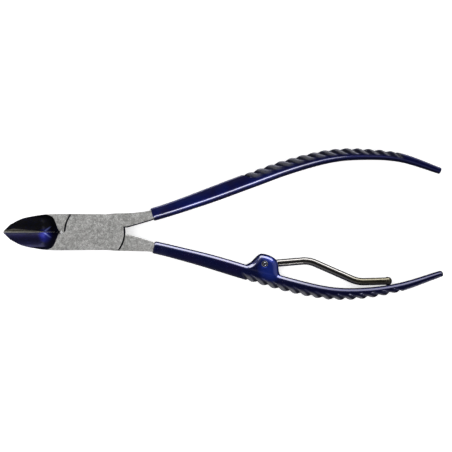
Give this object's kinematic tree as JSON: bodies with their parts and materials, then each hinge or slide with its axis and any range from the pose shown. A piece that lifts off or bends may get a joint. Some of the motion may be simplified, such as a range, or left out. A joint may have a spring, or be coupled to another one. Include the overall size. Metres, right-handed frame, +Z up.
{
  "type": "glass nippers",
  "caption": "Slender lap-jointed hand nippers with scooped cutting jaws, ridged bowed handles and a hinged bent spring wire parked along the lower handle.",
  "frame": {"origin": "on the pivot axis, in the ground lower flat of the head, which is the plane the tool lies on", "axes": "+X along the tool from the jaws to the handle ends, +Y towards the upper handle, +Z up through the flat of the head along the pivot axis"},
  "size_m": [0.1498, 0.0516, 0.0086],
  "materials": {
    "blue_coat": "glossy deep-blue metallic coat on forged steel; the head and shanks are ground back to bare satin steel",
    "ground_steel": "satin, ground and blasted",
    "spring_steel": "polished drawn wire"
  },
  "bodies": {
    "lower_half": {"lower_handle_half": "blue_coat", "pivot_rivet": "ground_steel", "spring_pin": "ground_steel"},
    "upper_half": {"upper_handle_half": "blue_coat"},
    "wire": {"spring_wire": "spring_steel"}
  },
  "joints": [
    {"name": "jaw_pivot", "type": "hinge", "parent": "lower_half", "child": "upper_half", "pos_m": [0, 0, 0.0043], "axis": [0, 0, 1], "range_deg": [0, 35]},
    {"name": "spring_wire_swing", "type": "hinge", "parent": "lower_half", "child": "wire", "pos_m": [0.0577, -0.0108, 0.0043], "axis": [0, 0, 1], "range_deg": [0, 60.3]}
  ]
}
